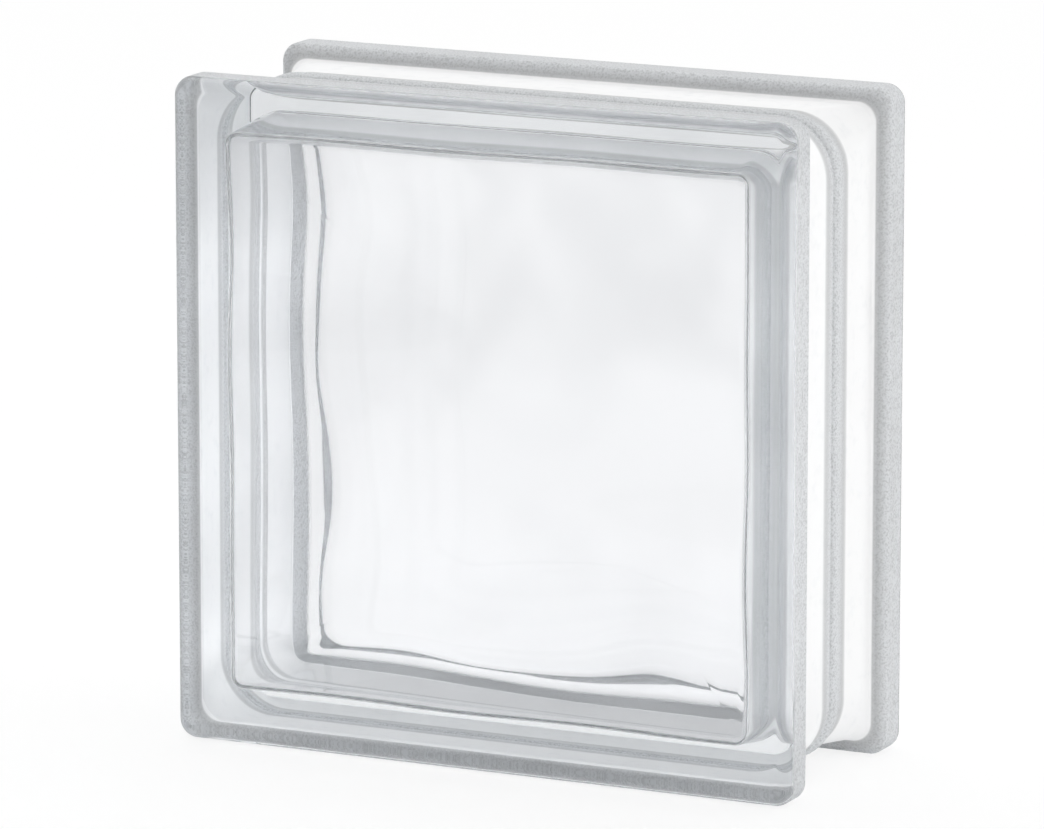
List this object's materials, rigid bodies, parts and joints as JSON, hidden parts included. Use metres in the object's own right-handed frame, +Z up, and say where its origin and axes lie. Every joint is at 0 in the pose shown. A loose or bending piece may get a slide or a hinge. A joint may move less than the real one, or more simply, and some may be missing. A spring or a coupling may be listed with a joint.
{
  "type": "glass block",
  "caption": "Square hollow pressed-glass building block with flat faces, wavy inner relief, raised rims and a mortar channel with a fused seam round its edge.",
  "frame": {"origin": "on the floor plane under the middle of the block, where its lower rims stand", "axes": "+X along the block's width to the right seen from the front, +Y from the front face to the rear face, +Z up"},
  "size_m": [0.19, 0.08, 0.19],
  "materials": {
    "glass_block": "clear pressed glass with a faint cool grey tint, polished faces, lightly frosted rims"
  },
  "bodies": {
    "root": {"glass_block": "glass_block"}
  },
  "joints": []
}
